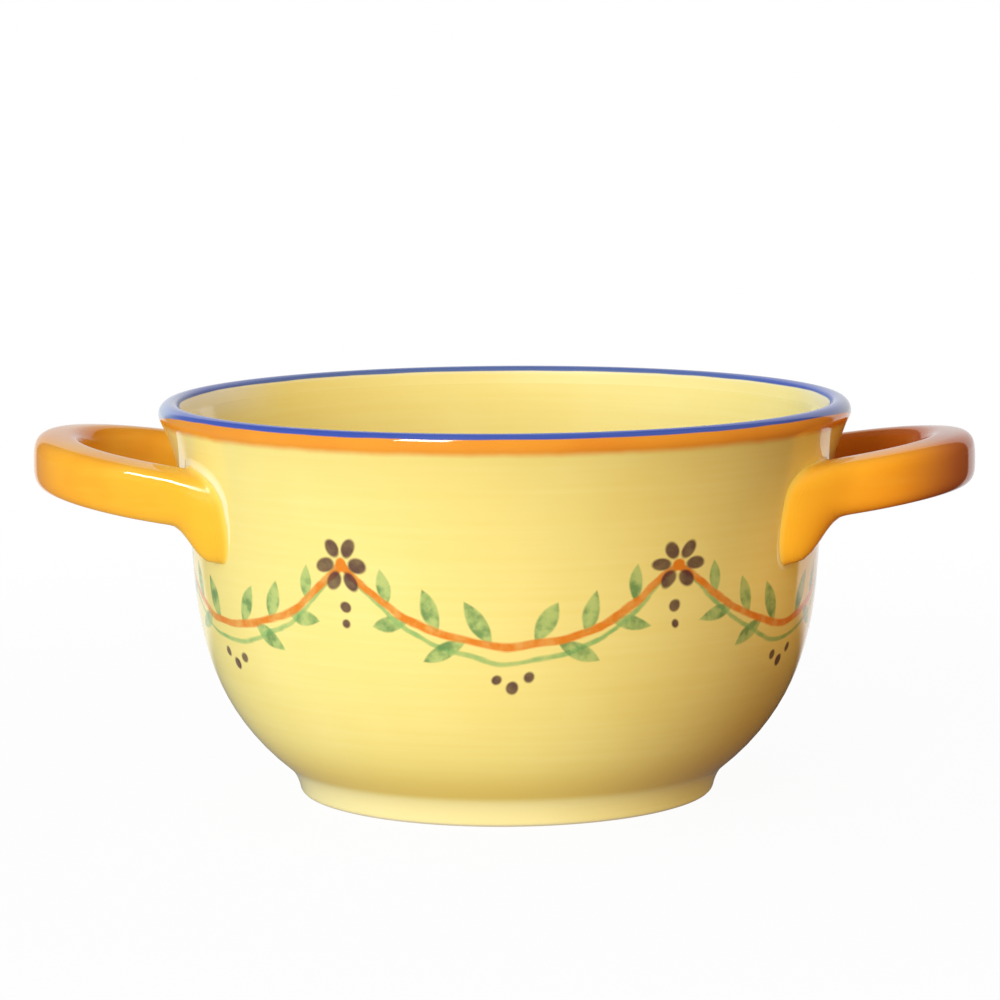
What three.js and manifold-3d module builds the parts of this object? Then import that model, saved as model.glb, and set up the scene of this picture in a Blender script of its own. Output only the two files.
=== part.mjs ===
// A two-handled soup bowl in glazed stoneware.
//
// The bowl is one turned wall, from a foot ring to a rounded lip. Each handle is a strap bent into a
// loop, whose two feet swell, droop and follow the curve of the wall. A thin pad of luting slip lies
// between each foot and the wall.
//
// Millimetres, +Z up. The origin is on the table, under the centre of the foot ring. The handles lie
// along X, and the two arms of a handle are its front (-Y) and its back (+Y).

import * as THREE from "three";
import { mergeVertices } from "three/addons/utils/BufferGeometryUtils.js";
import Module from "manifold-3d";

// Bowl: radii are measured from the axis to the outside, heights up from the table, depths down from
// the crest of the lip, and leans from upright
const BOWL_HEIGHT = 80;
const RIM_RADIUS = 70;
const LIP_THICKNESS = 4.8;
const LIP_LEAN = 27;
const LIP_INSIDE_LEAN = 20;
const FLARE_DEPTH = 28;
const WAIST_RADIUS = 63.8;
const WAIST_LEAN = 5.3;
const NECK_RADIUS = 45;
const NECK_LEAN = 51;
const FOOT_HEIGHT = 5.8;
const FOOT_RADIUS = 42.3;
const FOOT_LEAN = 16;
const FOOT_FACE_WIDTH = 3.2;
const FOOT_ROUNDING = 1;
const FOOT_RECESS = 3;
const RECESS_LEAN = 20;
const WALL = 5;
const FLOOR = 6;
const FLOOR_LEAN = 90;

// Bowl: how full the curves are, as the length over which each end holds its direction
const FOOT_PULL = 1.8;
const BELLY_LOW_PULL = 24;
const BELLY_HIGH_PULL = 11;
const FLARE_LOW_PULL = 13;
const FLARE_HIGH_PULL = 4;
const INSIDE_FLOOR_PULL = 54;
const INSIDE_WALL_PULL = 33;
const INSIDE_FLARE_PULL = 10;

// Handles: the strap, and the loop that its middle line follows out from the wall
const STRAP_THICKNESS = 9.8;
const STRAP_HEIGHT = 10.9;
const STRAP_SQUARENESS = 3;
const STRAP_TILT = 8;
const ARM_SPREAD = 26.8;
const ARM_DEPTH = 17;
const LOOP_PROJECTION = 30.4;
const LOOP_FULLNESS = 0.63;
const LOOP_RISE = 9;

// Handles: how the strap swells, rounds and droops on its way to the wall
const SWELL_LENGTH = 7;
const ROUNDING_LENGTH = 14;
const SPREAD_LENGTH = 13;
const SWELL_SIDE = 2.7;
const SWELL_DROOP = 12.4;
const ROOT_SQUARENESS = 2;

// Luting slip between the handles and the wall
const SLIP_THICKNESS = 0.8;
const SLIP_BEAD = 0.7;
const SEAT_GAP = 0.3;

// Fineness of the facets
const LATHE_STEPS = 64;
const CURVE_STEPS = 8;
const FOOT_STEPS = 3;
const LIP_STEPS = 4;
const LOOP_STEPS = 60;
const SECTION_STEPS = 24;
const WELD = 1e-4;

const wasm = await Module();
wasm.setup();

// Finishes
const yellowGlaze = new THREE.MeshStandardMaterial({ name: "yellow_glaze", roughness: 0.16, metalness: 0 });
yellowGlaze.color.set(0xf4dc84);
const orangeGlaze = new THREE.MeshStandardMaterial({ name: "orange_glaze", roughness: 0.14, metalness: 0 });
orangeGlaze.color.set(0xe8922a);
const luteSlip = new THREE.MeshStandardMaterial({ name: "lute_slip", roughness: 0.3, metalness: 0 });
luteSlip.color.set(0xeec878);

// Solids: a closed geometry goes to the boolean library and comes back

function toSolid(geometry) {
  const bare = geometry.clone();
  bare.deleteAttribute("normal");
  bare.deleteAttribute("uv");
  const merged = mergeVertices(bare, WELD);
  const corners = merged.index.array;
  const triangles = [];
  for (let first = 0; first < corners.length; first += 3) {
    const [a, b, c] = corners.slice(first, first + 3);
    if (a !== b && b !== c && c !== a) {
      triangles.push(a, b, c);
    }
  }
  const vertProperties = new Float32Array(merged.attributes.position.array);
  const triVerts = new Uint32Array(triangles);
  return new wasm.Manifold(new wasm.Mesh({ numProp: 3, vertProperties, triVerts }));
}

function toGeometry(solid) {
  const mesh = solid.getMesh();
  const geometry = new THREE.BufferGeometry();
  geometry.setAttribute("position", new THREE.BufferAttribute(new Float32Array(mesh.vertProperties), 3));
  geometry.setIndex(new THREE.BufferAttribute(new Uint32Array(mesh.triVerts), 1));
  geometry.computeVertexNormals();
  return geometry;
}

// Bowl: its curves are drawn in the half plane of (radius, height)

function leaning(degrees) {
  const angle = THREE.MathUtils.degToRad(degrees);
  return new THREE.Vector2(Math.sin(angle), Math.cos(angle));
}

function leaningCurve(start, startLean, startPull, end, endLean, endPull) {
  const startControl = start.clone().addScaledVector(leaning(startLean), startPull);
  const endControl = end.clone().addScaledVector(leaning(endLean), -endPull);
  return new THREE.CubicBezierCurve(start, startControl, endControl, end);
}

const lipRound = LIP_THICKNESS / 2;
const lipCentre = new THREE.Vector2(RIM_RADIUS - lipRound, BOWL_HEIGHT - lipRound);
const outsideAngle = THREE.MathUtils.degToRad(LIP_LEAN);
const insideAngle = THREE.MathUtils.degToRad(LIP_INSIDE_LEAN);
const toOutside = new THREE.Vector2(Math.cos(outsideAngle), -Math.sin(outsideAngle));
const toInside = new THREE.Vector2(-Math.cos(insideAngle), Math.sin(insideAngle));
const lipOutside = lipCentre.clone().addScaledVector(toOutside, lipRound);
const lipInside = lipCentre.clone().addScaledVector(toInside, lipRound);

const neck = new THREE.Vector2(NECK_RADIUS, FOOT_HEIGHT);
const waist = new THREE.Vector2(WAIST_RADIUS, BOWL_HEIGHT - FLARE_DEPTH);
const footEdge = new THREE.Vector2(FOOT_RADIUS, FOOT_ROUNDING);
const footSide = leaningCurve(footEdge, FOOT_LEAN, FOOT_PULL, neck, NECK_LEAN, FOOT_PULL);
const belly = leaningCurve(neck, NECK_LEAN, BELLY_LOW_PULL, waist, WAIST_LEAN, BELLY_HIGH_PULL);
const flare = leaningCurve(waist, WAIST_LEAN, FLARE_LOW_PULL, lipOutside, LIP_LEAN, FLARE_HIGH_PULL);

const innerFloor = new THREE.Vector2(0, FOOT_RECESS + FLOOR);
const innerWaist = new THREE.Vector2(WAIST_RADIUS - WALL, waist.y);
const innerBelly = leaningCurve(
  innerFloor, FLOOR_LEAN, INSIDE_FLOOR_PULL, innerWaist, WAIST_LEAN, INSIDE_WALL_PULL,
);
const innerFlare = leaningCurve(
  innerWaist, WAIST_LEAN, INSIDE_FLARE_PULL, lipInside, LIP_INSIDE_LEAN, FLARE_HIGH_PULL,
);

function arcPoints(centre, radius, startAngle, endAngle, steps) {
  const arc = new THREE.EllipseCurve(centre.x, centre.y, radius, radius, startAngle, endAngle);
  return arc.getPoints(steps);
}

// From the axis under the base, round the foot ring and up its hollow side, to just below the neck
function footProfile() {
  const recessRadius = FOOT_RADIUS - FOOT_FACE_WIDTH - 2 * FOOT_ROUNDING;
  const recessSlope = Math.tan(THREE.MathUtils.degToRad(RECESS_LEAN));
  const recessTopRadius = recessRadius - (FOOT_RECESS - FOOT_ROUNDING) * recessSlope;
  const inner = new THREE.Vector2(recessRadius + FOOT_ROUNDING, FOOT_ROUNDING);
  const outer = new THREE.Vector2(FOOT_RADIUS - FOOT_ROUNDING, FOOT_ROUNDING);
  const base = [new THREE.Vector2(0, FOOT_RECESS), new THREE.Vector2(recessTopRadius, FOOT_RECESS)];
  const innerEdge = arcPoints(inner, FOOT_ROUNDING, -Math.PI, -Math.PI / 2, FOOT_STEPS);
  const outerEdge = arcPoints(outer, FOOT_ROUNDING, -Math.PI / 2, 0, FOOT_STEPS);
  return [...base, ...innerEdge, ...outerEdge, ...footSide.getPoints(FOOT_STEPS).slice(1, -1)];
}

// Over the lip, from its outside to its inside, with a point at its widest and one at its top
function lipProfile() {
  const outside = arcPoints(lipCentre, lipRound, -outsideAngle, 0, 1);
  const rising = arcPoints(lipCentre, lipRound, 0, Math.PI / 2, LIP_STEPS);
  const falling = arcPoints(lipCentre, lipRound, Math.PI / 2, Math.PI - insideAngle, LIP_STEPS);
  return [...outside, ...rising.slice(1), ...falling.slice(1)];
}

function bowlProfile() {
  const outside = [...belly.getPoints(CURVE_STEPS), ...flare.getPoints(CURVE_STEPS).slice(1, -1)];
  const inside = [...innerBelly.getPoints(CURVE_STEPS), ...innerFlare.getPoints(CURVE_STEPS).slice(1, -1)];
  return [...footProfile(), ...outside, ...lipProfile(), ...inside.reverse()];
}

function revolve(profile) {
  return new THREE.LatheGeometry(profile, LATHE_STEPS).rotateX(Math.PI / 2);
}

// The outside of the wall, moved outwards by some growth
function wallSkin(growth) {
  const skin = [];
  for (const curve of [belly, flare]) {
    for (let step = 0; step < CURVE_STEPS; step += 1) {
      const along = curve.getTangent(step / CURVE_STEPS);
      const outward = new THREE.Vector2(along.y, -along.x);
      skin.push(curve.getPoint(step / CURVE_STEPS).addScaledVector(outward, growth));
    }
  }
  return skin;
}

function wallRadiusAt(height) {
  const skin = wallSkin(0);
  const above = skin.findIndex((point) => point.y > height);
  const low = skin[above - 1];
  const high = skin[above];
  return THREE.MathUtils.mapLinear(height, low.y, high.y, low.x, high.x);
}

// A solid block as wide as the grown wall, from the foot to above the lip. It cuts what lies on the wall.
function wallBlock(growth) {
  const skin = wallSkin(growth);
  const top = BOWL_HEIGHT + STRAP_HEIGHT;
  const lip = new THREE.Vector2(RIM_RADIUS + growth, lipOutside.y);
  const lid = [new THREE.Vector2(lip.x, top), new THREE.Vector2(0, top)];
  return toSolid(revolve([new THREE.Vector2(0, skin[0].y), ...skin, lip, ...lid]));
}

// Handle: a strap lofted along a loop that lies flat, then tipped up

const armHeight = BOWL_HEIGHT - ARM_DEPTH;
const armRadius = wallRadiusAt(armHeight);
const rootX = Math.sqrt(armRadius ** 2 - ARM_SPREAD ** 2);
const loopEndX = armRadius + LOOP_PROJECTION - STRAP_THICKNESS / 2;
const swellRadius = wallRadiusAt(armHeight - STRAP_HEIGHT);

// The middle line of the strap, seen from above: out of the wall at the front root, round the loop and back
function loopPath() {
  const pull = (loopEndX - rootX) * LOOP_FULLNESS;
  const side = ARM_SPREAD * LOOP_FULLNESS;
  const hiddenX = rootX - STRAP_THICKNESS / 2 - SWELL_SIDE;
  const path = new THREE.Path();
  path.moveTo(hiddenX, -ARM_SPREAD);
  path.lineTo(rootX, -ARM_SPREAD);
  path.bezierCurveTo(rootX + pull, -ARM_SPREAD, loopEndX, -side, loopEndX, 0);
  path.bezierCurveTo(loopEndX, side, rootX + pull, ARM_SPREAD, rootX, ARM_SPREAD);
  path.lineTo(hiddenX, ARM_SPREAD);
  return path;
}

function roundedPower(value, power) {
  return Math.sign(value) * Math.abs(value) ** power;
}

// How near the wall a place is: 0 from so many millimetres out, 1 at the swollen root
function nearness(place, length) {
  return THREE.MathUtils.smoothstep(swellRadius + length - place.length(), 0, length);
}

// One point of the strap's skin, at an angle round the section that stands square to the middle line.
// The section leans a little, its outer side down. The closer the strap comes to the wall, the rounder
// it gets and the more it swells: its sides spread, and its lower outer side droops to a blunt tip.
function strapPoint(place, along, turn, growth) {
  const rounding = nearness(place, ROUNDING_LENGTH);
  const squareness = THREE.MathUtils.lerp(STRAP_SQUARENESS, ROOT_SQUARENESS, rounding);
  const across = roundedPower(Math.cos(turn), 2 / squareness);
  const up = roundedPower(Math.sin(turn), 2 / squareness);
  const section = new THREE.Vector2((across * STRAP_THICKNESS) / 2, (up * STRAP_HEIGHT) / 2);
  section.rotateAround(new THREE.Vector2(0, 0), -THREE.MathUtils.degToRad(STRAP_TILT));
  const outward = new THREE.Vector2(along.y, -along.x);
  const plain = place.clone().addScaledVector(outward, section.x);
  const spread = across * (SWELL_SIDE * nearness(plain, SPREAD_LENGTH) + growth);
  const swell = nearness(plain, SWELL_LENGTH);
  const droop = SWELL_DROOP * swell * Math.max(0, -up) * ((1 + across) / 2) ** 2;
  const point = plain.addScaledVector(outward, spread);
  return [point.x, point.y, section.y + up * growth - droop];
}

// The strap's blank, whose arms run on into the bowl so that the wall can trim them
function handleBlank(growth) {
  const path = loopPath();
  const positions = [];
  for (let station = 0; station <= LOOP_STEPS; station += 1) {
    const place = path.getPointAt(station / LOOP_STEPS);
    const along = path.getTangentAt(station / LOOP_STEPS);
    for (let step = 0; step < SECTION_STEPS; step += 1) {
      positions.push(...strapPoint(place, along, (step / SECTION_STEPS) * 2 * Math.PI, growth));
    }
  }
  return loftedTube(positions, SECTION_STEPS);
}

// Rings of points joined into a closed tube with flat ends
function loftedTube(positions, ringSize) {
  const last = positions.length / 3 - ringSize;
  const faces = [];
  for (let ring = 0; ring < last; ring += ringSize) {
    for (let step = 0; step < ringSize; step += 1) {
      const here = ring + step;
      const beside = ring + ((step + 1) % ringSize);
      faces.push(here, here + ringSize, beside, beside, here + ringSize, beside + ringSize);
    }
  }
  for (let step = 1; step < ringSize - 1; step += 1) {
    faces.push(0, step, step + 1, last, last + step + 1, last + step);
  }
  const geometry = new THREE.BufferGeometry();
  geometry.setAttribute("position", new THREE.Float32BufferAttribute(positions, 3));
  geometry.setIndex(faces);
  return geometry;
}

// The loop tips up about the line through its two roots
function placedBlank(growth) {
  const blank = handleBlank(growth).translate(-rootX, 0, 0);
  blank.rotateY(-THREE.MathUtils.degToRad(LOOP_RISE));
  return toSolid(blank.translate(rootX, 0, armHeight));
}

const handleSolid = placedBlank(0).subtract(wallBlock(SEAT_GAP + SLIP_THICKNESS + SEAT_GAP));
const slipLayer = wallBlock(SEAT_GAP + SLIP_THICKNESS).subtract(wallBlock(SEAT_GAP));
const slipPads = placedBlank(SLIP_BEAD).intersect(slipLayer).decompose();
const frontPad = slipPads.find((pad) => pad.boundingBox().max[1] < 0);
const backPad = slipPads.find((pad) => pad.boundingBox().min[1] > 0);

// Assembly: the left handle is the right one turned half round the axis

function piece(name, geometry, material) {
  const mesh = new THREE.Mesh(geometry, material);
  mesh.name = name;
  return mesh;
}

const object = new THREE.Group();
object.add(piece("bowl", revolve(bowlProfile()), yellowGlaze));

const sides = [
  { name: "right", turn: 0, front: frontPad, back: backPad },
  { name: "left", turn: Math.PI, front: backPad, back: frontPad },
];
for (const side of sides) {
  const group = new THREE.Group();
  group.rotation.z = side.turn;
  group.add(piece(`handle_${side.name}`, toGeometry(handleSolid), orangeGlaze));
  group.add(piece(`slip_joint_${side.name}_front`, toGeometry(side.front), luteSlip));
  group.add(piece(`slip_joint_${side.name}_back`, toGeometry(side.back), luteSlip));
  object.add(group);
}

export default object;
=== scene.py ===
# %% [markdown]
# # A two-handled soup bowl in glazed stoneware
#
# The real object is a turned bowl with two loop handles, stuck on with slip and glazed all over: yellow
# on the bowl, orange on the handles, a blue lip with an orange band under it, and a painted garland
# round the belly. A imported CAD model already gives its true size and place. In this lesson each piece
# of it gets a smooth glazed stand-in, made from the same measures, so nothing has to be fitted by eye.

import math
from collections import namedtuple

import bpy
from mathutils import Matrix, Vector


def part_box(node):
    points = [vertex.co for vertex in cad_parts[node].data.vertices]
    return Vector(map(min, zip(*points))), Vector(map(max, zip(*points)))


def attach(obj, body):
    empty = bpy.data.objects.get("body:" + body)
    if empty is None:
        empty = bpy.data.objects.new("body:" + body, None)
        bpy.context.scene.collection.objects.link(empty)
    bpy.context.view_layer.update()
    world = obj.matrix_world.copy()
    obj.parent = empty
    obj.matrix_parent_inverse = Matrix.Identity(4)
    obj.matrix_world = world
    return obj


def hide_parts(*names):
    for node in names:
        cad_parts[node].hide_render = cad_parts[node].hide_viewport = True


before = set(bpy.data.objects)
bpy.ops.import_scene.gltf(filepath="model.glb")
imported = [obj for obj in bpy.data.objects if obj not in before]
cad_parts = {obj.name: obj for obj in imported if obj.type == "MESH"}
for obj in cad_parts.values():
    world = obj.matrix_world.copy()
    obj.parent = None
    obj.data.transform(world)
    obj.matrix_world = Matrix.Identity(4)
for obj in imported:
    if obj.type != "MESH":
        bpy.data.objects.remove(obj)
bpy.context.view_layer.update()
MM = 0.001
print("CAD nodes:", ", ".join(sorted(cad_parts)))

# %% [markdown]
# ## The outline of the wall
#
# A thrown bowl is a solid of revolution: half of its cross-section, spun round the axis, is the whole
# shape. The half section could be a row of many points, but a Bezier curve needs a knot only where the
# wall changes its character. Each knot here has a radius, a height, a lean from upright and two pulls,
# the lengths over which the curve holds that lean before and after the knot.

# %% Measures of the bowl
bowl_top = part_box("bowl")[1]
RIM_RADIUS = bowl_top.x
BOWL_HEIGHT = bowl_top.z
BOWL_MIDDLE = Vector((0, 0, BOWL_HEIGHT / 2))
LIP_ROUND = 2.4 * MM
LIP_LEAN = 27
LIP_INSIDE_LEAN = 20
WAIST_RADIUS = 63.8 * MM
WAIST_DEPTH = 28 * MM
WAIST_HEIGHT = BOWL_HEIGHT - WAIST_DEPTH
WAIST_LEAN = 5.3
NECK_RADIUS = 45 * MM
NECK_LEAN = 51
FOOT_HEIGHT = 5.8 * MM
FOOT_RADIUS = 42.3 * MM
FOOT_LEAN = 12
FOOT_INSIDE_LEAN = 15
FOOT_FACE = 3.2 * MM
FOOT_ROUND = 1 * MM
RECESS = 3 * MM
RECESS_LEAN = 20
WALL = 5 * MM
FLOOR = 6 * MM
print(f"lip {2 * RIM_RADIUS / MM:.1f} mm across, height {BOWL_HEIGHT / MM:.1f} mm")

# %% How far the wall holds its lean on each side of a knot
FOOT_PULL = 1.8 * MM
BELLY_PULL = 24 * MM
WAIST_PULL_BELOW = 11 * MM
WAIST_PULL_ABOVE = 13 * MM
FLARE_PULL = 4 * MM
INSIDE_PULL_ABOVE = 10 * MM
INSIDE_PULL_BELOW = 33 * MM
FLOOR_PULL = 54 * MM
# The rounded corner at the top of the recess under the base
CORNER_IN = 1 * MM
CORNER_OUT = 0.34 * MM
CORNER_DROP = 0.94 * MM
CORNER_PULL = 0.5 * MM


def arc_pull(radius, degrees):
    """The pull that makes a Bezier span of so many degrees follow a circle."""
    return radius * 4 / 3 * math.tan(math.radians(degrees) / 4)


low_lip = arc_pull(LIP_ROUND, LIP_LEAN)
half_lip = arc_pull(LIP_ROUND, 90)
inner_lip = arc_pull(LIP_ROUND, 90 - LIP_INSIDE_LEAN)
foot_edge = arc_pull(FOOT_ROUND, 90)
print(f"a quarter round of the lip pulls {half_lip / MM:.2f} mm")

# %% The knots, from under the base, up the outside, over the lip and down the inside
UP = 0
OUT = 90
IN = -90
DOWN = 180
lip_radius = RIM_RADIUS - LIP_ROUND
lip_height = BOWL_HEIGHT - LIP_ROUND
lip_across = LIP_ROUND * math.cos(math.radians(LIP_LEAN))
lip_drop = LIP_ROUND * math.sin(math.radians(LIP_LEAN))
inside_across = LIP_ROUND * math.cos(math.radians(LIP_INSIDE_LEAN))
inside_rise = LIP_ROUND * math.sin(math.radians(LIP_INSIDE_LEAN))
recess_radius = FOOT_RADIUS - FOOT_FACE - 2 * FOOT_ROUND
recess_top = recess_radius - (RECESS - FOOT_ROUND) * math.tan(math.radians(RECESS_LEAN))
base_pull = recess_top / 3

Knot = namedtuple("Knot", "radius height lean before after")
neck = Knot(NECK_RADIUS, FOOT_HEIGHT, NECK_LEAN, FOOT_PULL, BELLY_PULL)
waist = Knot(WAIST_RADIUS, WAIST_HEIGHT, WAIST_LEAN, WAIST_PULL_BELOW, WAIST_PULL_ABOVE)
flare = Knot(lip_radius + lip_across, lip_height - lip_drop, LIP_LEAN, FLARE_PULL, low_lip)
inner_edge = lip_radius - inside_across
knots = [
    Knot(0, RECESS, OUT, 0, base_pull),
    Knot(recess_top - CORNER_IN, RECESS, OUT, base_pull, CORNER_PULL),
    Knot(recess_top + CORNER_OUT, RECESS - CORNER_DROP, DOWN - RECESS_LEAN, CORNER_PULL, 0),
    Knot(recess_radius, FOOT_ROUND, DOWN - FOOT_INSIDE_LEAN, 0, foot_edge),
    Knot(recess_radius + FOOT_ROUND, 0, OUT, foot_edge, 0),
    Knot(FOOT_RADIUS - FOOT_ROUND, 0, OUT, 0, foot_edge),
    Knot(FOOT_RADIUS, FOOT_ROUND, FOOT_LEAN, foot_edge, FOOT_PULL),
    neck,
    waist,
    flare,
    Knot(RIM_RADIUS, lip_height, UP, low_lip, half_lip),
    Knot(lip_radius, BOWL_HEIGHT, IN, half_lip, inner_lip),
    Knot(inner_edge, lip_height + inside_rise, LIP_INSIDE_LEAN - DOWN, inner_lip, FLARE_PULL),
    Knot(WAIST_RADIUS - WALL, WAIST_HEIGHT, WAIST_LEAN - DOWN, INSIDE_PULL_ABOVE, INSIDE_PULL_BELOW),
    Knot(0, RECESS + FLOOR, IN, FLOOR_PULL, 0),
]
print(len(knots), "knots draw the outline")

# %% Draw the outline as a Bezier curve and turn it into a row of points
OUTLINE_STEPS = 20
CLOSEST_POINTS = 0.3 * MM


def leaning(degrees):
    """The direction, in the plane of radius and height, that leans so far from upright."""
    angle = math.radians(degrees)
    return Vector((math.sin(angle), 0, math.cos(angle)))


def edit_all():
    """Open the active piece in edit mode, with all of it selected."""
    bpy.ops.object.mode_set(mode="EDIT")
    bpy.ops.mesh.select_all(action="SELECT")


def merge_close(distance):
    """Merge the points of the active piece that lie closer together than a distance."""
    edit_all()
    bpy.ops.mesh.remove_doubles(threshold=distance)
    bpy.ops.object.mode_set(mode="OBJECT")


bpy.ops.object.select_all(action="DESELECT")
bpy.ops.curve.primitive_bezier_curve_add()
bowl = bpy.context.object
bowl.name = "glazed_bowl"
spline = bowl.data.splines[0]
spline.resolution_u = OUTLINE_STEPS
spline.bezier_points.add(len(knots) - len(spline.bezier_points))
for point, knot in zip(spline.bezier_points, knots):
    point.handle_left_type = "FREE"
    point.handle_right_type = "FREE"
    point.co = Vector((knot.radius, 0, knot.height))
    point.handle_left = point.co - leaning(knot.lean) * knot.before
    point.handle_right = point.co + leaning(knot.lean) * knot.after
bpy.ops.object.convert(target="MESH")
merge_close(CLOSEST_POINTS)
print(len(bowl.data.vertices), "points along the outline")

# %% [markdown]
# ## Marking the outline before it is spun
#
# The painter's bands follow the lip: so many millimetres down the outside, so many down the inside. A
# height alone can't tell the two faces of the wall apart. So each point of the outline is told its
# distance from the crest of the lip, along the surface, below zero on the outside. Blender copies the
# number to every point that the spin makes.

# %% Measure each point's distance from the lip
outline_points = [point.co.copy() for point in bowl.data.vertices]
distances = [0.0]
for here, beyond in zip(outline_points, outline_points[1:]):
    distances.append(distances[-1] + (beyond - here).length / MM)
crest = max(range(len(outline_points)), key=lambda index: outline_points[index].z)
outside_length = distances[crest]
inside_length = distances[-1] - outside_length
from_lip = bowl.data.attributes.new("from_lip", "FLOAT", "POINT")
for index, distance in enumerate(distances):
    from_lip.data[index].value = distance - outside_length
print(f"outside {outside_length:.1f} mm to the base, inside {inside_length:.1f} mm to the floor")

# %% Spin the outline into the bowl
SPIN_STEPS = 192
SEAM = 0.005 * MM


def close_and_smooth(piece):
    """Merge the seam and the poles, point every face outwards and shade the piece smooth."""
    merge_close(SEAM)
    edit_all()
    bpy.ops.mesh.normals_make_consistent(inside=False)
    bpy.ops.object.mode_set(mode="OBJECT")
    bpy.ops.object.shade_smooth()
    print(piece.name, "has", len(piece.data.polygons), "faces")


edit_all()
bpy.ops.mesh.spin(steps=SPIN_STEPS, angle=2 * math.pi, center=(0, 0, 0), axis=(0, 0, 1))
bpy.ops.object.mode_set(mode="OBJECT")
close_and_smooth(bowl)

# %% [markdown]
# ## The loop handles
#
# A potter rolls or presses a strap, bends it into a loop and sets its two roots against the wall, where
# the clay swells and droops. A curve with a bevel would give the strap, but not the roots. So a flat
# grid is wrapped instead: one way of the grid runs along the strap and the other goes round it, and a
# short function says where each point lies. Near the wall the sides spread and the lower outer side
# sinks to a blunt tip.

# %% Measures of the strap
STRAP_THICKNESS = 9.8 * MM
STRAP_HEIGHT = 10.9 * MM
STRAP_SQUARENESS = 3.4
STRAP_TILT = math.radians(8)
ARM_SPREAD = 26.8 * MM
ARM_DEPTH = 17 * MM
ARM_HEIGHT = BOWL_HEIGHT - ARM_DEPTH
LOOP_PROJECTION = 30.28 * MM
LOOP_FULLNESS = 0.63
LOOP_RISE = math.radians(9)
SWELL_LENGTH = 7 * MM
ROUNDING_LENGTH = 14 * MM
SPREAD_LENGTH = 13 * MM
SWELL_SIDE = 2.7 * MM
SWELL_DROOP = 12.4 * MM
ROOT_SQUARENESS = 2
ROOT_TOP_SQUARENESS = 2.8
print(f"the arms of the loops are {ARM_HEIGHT / MM:.1f} mm up and {2 * ARM_SPREAD / MM:.1f} mm apart")

# %% Where the wall is, at a height
HALVINGS = 40


def bezier(start, start_control, end_control, end, share):
    """The place on a Bezier span, and the direction in which it runs there."""
    rest = 1 - share
    place = start * rest**3 + start_control * 3 * share * rest**2
    place += end_control * 3 * share**2 * rest + end * share**3
    run = (start_control - start) * rest**2 + (end_control - start_control) * 2 * share * rest
    run += (end - end_control) * share**2
    return place, run


def crossing(measure, low, high):
    """The number between low and high at which a rising measure passes zero."""
    for _ in range(HALVINGS):
        middle = (low + high) / 2
        if measure(middle) < 0:
            low = middle
        else:
            high = middle
    return (low + high) / 2


def wall_span(height):
    """The four points of the span of the outside, belly or flare, that reaches a height."""
    start, end = (neck, waist) if height < WAIST_HEIGHT else (waist, flare)
    low = Vector((start.radius, 0, start.height))
    high = Vector((end.radius, 0, end.height))
    return low, low + leaning(start.lean) * start.after, high - leaning(end.lean) * end.before, high


def wall_place(height):
    """The outside of the wall at a height: its radius, and the way it runs up from there."""
    span = wall_span(height)
    share = crossing(lambda at: bezier(*span, at)[0].z - height, 0, 1)
    place, run = bezier(*span, share)
    return place.x, run.normalized()


arm_radius = wall_place(ARM_HEIGHT)[0]
swell_radius = wall_place(ARM_HEIGHT - STRAP_HEIGHT)[0]
root_x = math.sqrt(arm_radius**2 - ARM_SPREAD**2)
loop_end = arm_radius + LOOP_PROJECTION - STRAP_THICKNESS / 2
print(f"the strap leaves the wall at x = {root_x / MM:.1f} mm")

# %% One point of the strap's skin
LOOP_START = Vector((root_x, -ARM_SPREAD))
LOOP_PULL = Vector(((loop_end - root_x) * LOOP_FULLNESS, 0))
LOOP_TOP = Vector((loop_end, 0))
LOOP_SIDE = Vector((0, ARM_SPREAD * LOOP_FULLNESS))


def rounded_power(value, power):
    """A power of a number's size, with the number's own sign."""
    return math.copysign(abs(value) ** power, value)


def smooth_step(value):
    """A soft step from 0 to 1, while a value goes from 0 to 1."""
    value = min(max(value, 0), 1)
    return value * value * (3 - 2 * value)


def nearness(place, length):
    """How near the wall a place is: 0 from so far out, 1 at the swollen root."""
    return smooth_step((swell_radius + length - place.length) / length)


def strap_point(turn, run):
    """A point of the front half of the strap: run is 0 near the wall and 1 at the far end of the loop.
    Below 0 the strap goes straight on, into the wall."""
    if run < 0:
        place = LOOP_START + LOOP_PULL * 3 * run
        along = Vector((1, 0))
    else:
        place, along = bezier(LOOP_START, LOOP_START + LOOP_PULL, LOOP_TOP - LOOP_SIDE, LOOP_TOP, run)
        along = along.normalized()
    rounding = nearness(place, ROUNDING_LENGTH)
    root_squareness = ROOT_TOP_SQUARENESS if math.sin(turn) > 0 else ROOT_SQUARENESS
    squareness = STRAP_SQUARENESS + (root_squareness - STRAP_SQUARENESS) * rounding
    across = rounded_power(math.cos(turn), 2 / squareness)
    up = rounded_power(math.sin(turn), 2 / squareness)
    section = Vector((across * STRAP_THICKNESS / 2, up * STRAP_HEIGHT / 2))
    section.rotate(Matrix.Rotation(-STRAP_TILT, 2))
    outward = Vector((along.y, -along.x))
    plain = place + outward * section.x
    point = plain + outward * across * SWELL_SIDE * nearness(plain, SPREAD_LENGTH)
    droop = SWELL_DROOP * nearness(plain, SWELL_LENGTH) * max(0, -up) * ((1 + across) / 2) ** 2
    high = section.y - droop
    reach = point.x - root_x
    tipped_x = root_x + reach * math.cos(LOOP_RISE) - high * math.sin(LOOP_RISE)
    tipped_z = reach * math.sin(LOOP_RISE) + high * math.cos(LOOP_RISE)
    return Vector((tipped_x, point.y, ARM_HEIGHT + tipped_z))


print(f"far end of the loop at x = {strap_point(0, 1).x / MM:.1f} mm")

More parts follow.
